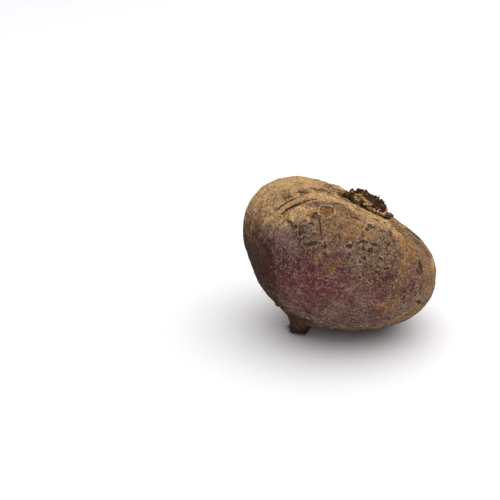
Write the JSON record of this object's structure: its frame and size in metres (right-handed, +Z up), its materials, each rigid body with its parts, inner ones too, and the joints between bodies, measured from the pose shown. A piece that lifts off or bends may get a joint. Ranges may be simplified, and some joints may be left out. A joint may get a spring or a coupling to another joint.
{
  "type": "beetroot",
  "caption": "Whole raw beetroot, round and a little flattened, with a dry leafless crown and a short broken tail, lying tilted on its belly and the end of its tail.",
  "frame": {"origin": "on the surface that the beetroot lies on, under the middle of its bounding box", "axes": "+Z is up from the surface, +X is the picture's right, +Y points away from the picture's camera. The crown leans to +X and +Y, and the tail is at -X and -Y."},
  "size_m": [0.0852, 0.0852, 0.0695],
  "materials": {
    "beet_skin": "matt dry skin, rough",
    "dry_leaf_base": "matt, dry and fibrous"
  },
  "bodies": {
    "root": {"root": "beet_skin", "leaf_bases": "dry_leaf_base"}
  },
  "joints": []
}
